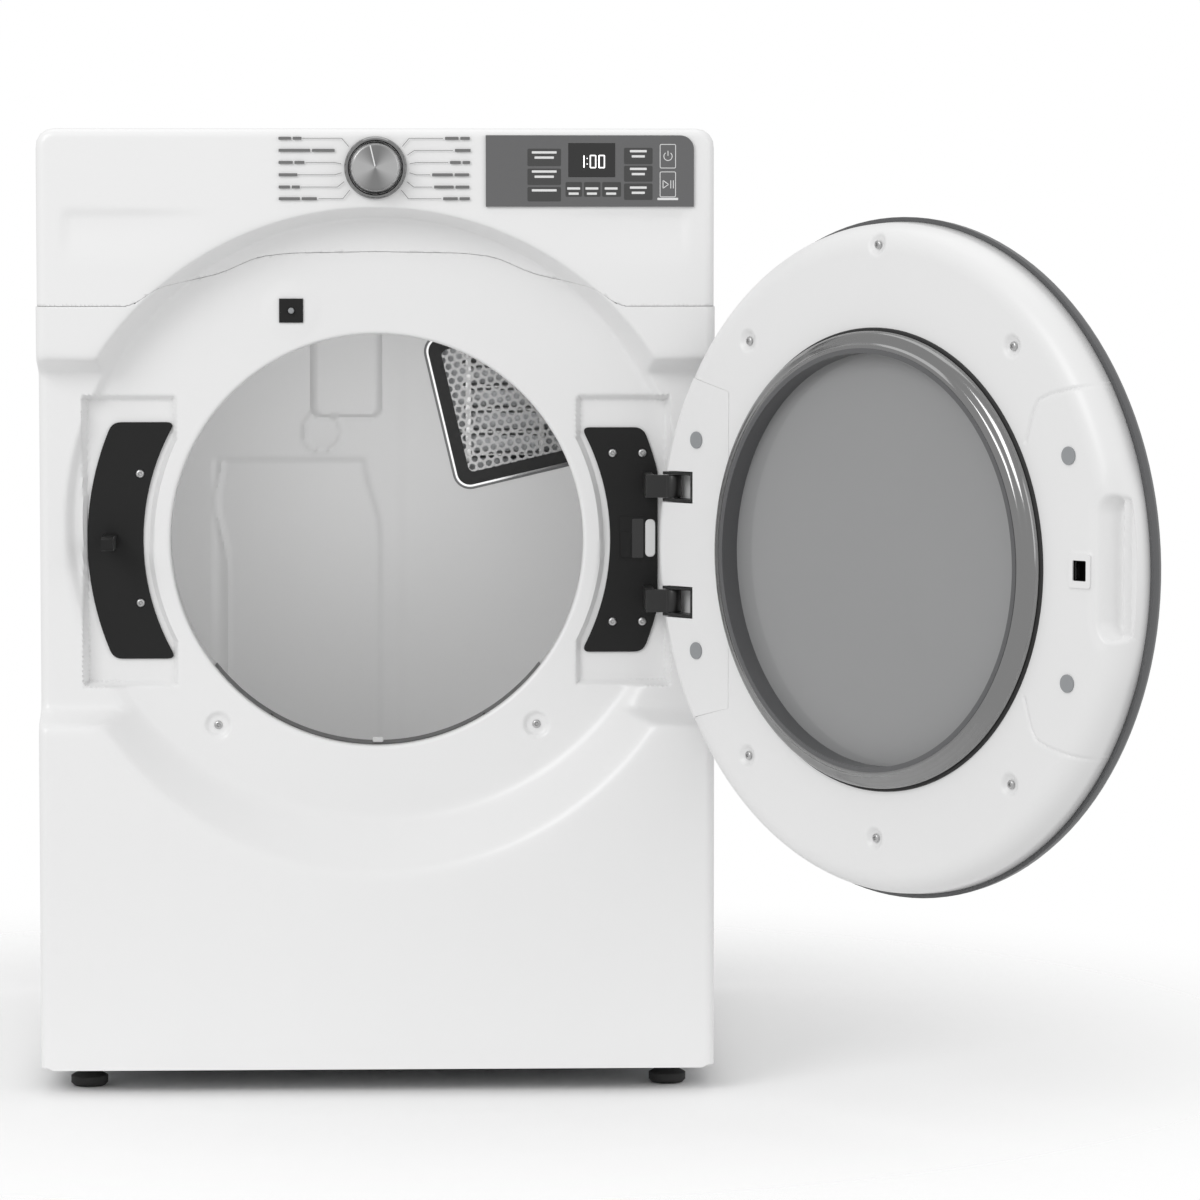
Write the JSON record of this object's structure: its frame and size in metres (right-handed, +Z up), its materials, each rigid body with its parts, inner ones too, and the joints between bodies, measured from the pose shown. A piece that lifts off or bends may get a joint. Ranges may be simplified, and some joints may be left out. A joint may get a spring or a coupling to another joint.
{
  "type": "clothes dryer",
  "caption": "Front-loading clothes dryer: white cabinet, round door that opens wide to the right, drum, blower and motor, console with knob and touch panel.",
  "frame": {"origin": "middle of the cabinet's underside; the levelling feet reach 24 mm below it", "axes": "+Z up, the door and console face -Y, +X to the right seen from the front"},
  "size_m": [1.0717, 1.253, 0.981],
  "materials": {
    "white_enamel": "gloss white enamel on steel",
    "white_plastic": "satin white moulded plastic",
    "console_plastic": "gloss white moulded plastic",
    "galvanised": "galvanised sheet steel",
    "drum_enamel": "light grey powder coat",
    "dark_plate": "matte black plastic",
    "dark_rim": "dark grey moulded plastic",
    "black_gloss": "gloss black touch panel",
    "display": "smoked display lens",
    "brushed_knob": "spun metal knob",
    "chrome": "polished chrome trim",
    "glass": "clear tempered glass",
    "smoked_glass": "smoked glass",
    "steel": "plated steel",
    "grey_plastic": "dark grey plastic",
    "felt": "grey felt",
    "mesh": "perforated steel",
    "screen": "fine mesh",
    "board": "circuit board",
    "rubber": "black rubber",
    "black_metal": "black coated steel",
    "motor_grey": "dark motor enamel",
    "grey_cap": "grey plastic plug"
  },
  "bodies": {
    "cabinet": {"base_pan": "galvanised", "left_side_panel": "white_enamel", "right_side_panel": "white_enamel", "rear_panel": "galvanised", "top_panel": "white_enamel", "terminal_cover": "galvanised", "front_panel": "white_enamel", "console_fascia": "console_plastic", "front_screws": "steel", "latch_plate": "dark_plate", "hinge_plate": "dark_plate", "latch_tongue": "dark_plate", "hinge_arms": "black_metal", "door_switch_housing": "dark_plate", "control_overlay": "black_gloss", "display_window": "display", "knob_bezel": "chrome", "control_board": "board", "front_bulkhead": "drum_enamel", "rear_bulkhead": "drum_enamel", "drum_seals": "felt", "air_grille_frame": "chrome", "air_grille_screen": "mesh", "heater_box": "galvanised", "heating_element": "steel", "roller_axles": "steel", "lint_duct": "grey_plastic", "blower_housing": "grey_plastic", "exhaust_duct": "galvanised", "motor_body": "motor_grey", "motor_mount": "galvanised", "drum_belt": "rubber"},
    "door": {"door_inner_panel": "white_plastic", "door_hinge_insert": "white_plastic", "door_strike_insert": "white_plastic", "door_strike": "dark_plate", "door_glass_ring": "chrome", "door_inner_glass": "glass", "door_outer_ring": "dark_rim", "door_window": "smoked_glass", "door_screws": "steel", "door_plugs": "grey_cap", "door_hinge_leaf": "black_metal", "hinge_pins": "steel"},
    "knob": {"control_knob": "brushed_knob"},
    "switch_plunger": {"door_switch_plunger": "grey_cap"},
    "lint_filter": {"lint_filter_frame": "grey_plastic", "lint_filter_screen": "screen"},
    "drum": {"drum_shell": "drum_enamel", "drum_baffles": "white_plastic"},
    "motor_rotor": {"motor_shaft": "steel", "blower_wheel": "grey_plastic"},
    "left_roller": {"left_drum_roller": "rubber"},
    "right_roller": {"right_drum_roller": "rubber"},
    "idler": {"idler_arm": "steel"},
    "idler_wheel": {"idler_pulley": "grey_plastic"},
    "front_left_leveller": {"front_left_foot": "rubber"},
    "front_right_leveller": {"front_right_foot": "rubber"},
    "rear_left_leveller": {"rear_left_foot": "rubber"},
    "rear_right_leveller": {"rear_right_foot": "rubber"}
  },
  "joints": [
    {"name": "door_hinge", "type": "hinge", "parent": "cabinet", "child": "door", "pos_m": [0.3, -0.385, 0.5385], "axis": [0, 0, 1], "range_deg": [-129.24, 0]},
    {"name": "knob_turn", "type": "hinge", "parent": "cabinet", "child": "knob", "pos_m": [0, -0.3725, 0.9173], "axis": [0, -1, 0], "continuous": true},
    {"name": "switch_press", "type": "slide", "parent": "cabinet", "child": "switch_plunger", "axis": [0, 1, 0], "range_m": [0, 0.003], "stiffness_N_per_m": 250, "springref_m": -0.002},
    {"name": "filter_lift", "type": "slide", "parent": "cabinet", "child": "lint_filter", "axis": [0, 0, 1], "range_m": [0, 0.16]},
    {"name": "drum_spin", "type": "hinge", "parent": "cabinet", "child": "drum", "pos_m": [0, 0, 0.5385], "axis": [0, 1, 0], "continuous": true},
    {"name": "motor_spin", "type": "hinge", "parent": "cabinet", "child": "motor_rotor", "pos_m": [0.07, -0.2, 0.115], "axis": [0, 1, 0], "continuous": true},
    {"name": "left_roller_spin", "type": "hinge", "parent": "cabinet", "child": "left_roller", "pos_m": [-0.1787, 0.28, 0.22898], "axis": [0, 1, 0], "continuous": true},
    {"name": "right_roller_spin", "type": "hinge", "parent": "cabinet", "child": "right_roller", "pos_m": [0.1787, 0.28, 0.22898], "axis": [0, 1, 0], "continuous": true},
    {"name": "idler_swing", "type": "hinge", "parent": "cabinet", "child": "idler", "pos_m": [0.004, -0.072, 0.034], "axis": [0, -1, 0], "range_deg": [0, 12], "stiffness_Nm_per_rad": 4, "springref_deg": -17.19},
    {"name": "idler_spin", "type": "hinge", "parent": "idler", "child": "idler_wheel", "pos_m": [0.01597, -0.0595, 0.11041], "axis": [0, 1, 0], "continuous": true},
    {"name": "front_left_level", "type": "slide", "parent": "cabinet", "child": "front_left_leveller", "axis": [0, 0, -1], "range_m": [0, 0.012]},
    {"name": "front_right_level", "type": "slide", "parent": "cabinet", "child": "front_right_leveller", "axis": [0, 0, -1], "range_m": [0, 0.012]},
    {"name": "rear_left_level", "type": "slide", "parent": "cabinet", "child": "rear_left_leveller", "axis": [0, 0, -1], "range_m": [0, 0.012]},
    {"name": "rear_right_level", "type": "slide", "parent": "cabinet", "child": "rear_right_leveller", "axis": [0, 0, -1], "range_m": [0, 0.012]}
  ],
  "couplings": [
    {"joint": "motor_spin", "follows": "drum_spin", "ratio": 26.833},
    {"joint": "left_roller_spin", "follows": "drum_spin", "ratio": -9.2},
    {"joint": "right_roller_spin", "follows": "drum_spin", "ratio": -9.2},
    {"joint": "idler_spin", "follows": "drum_spin", "ratio": -16.1}
  ]
}
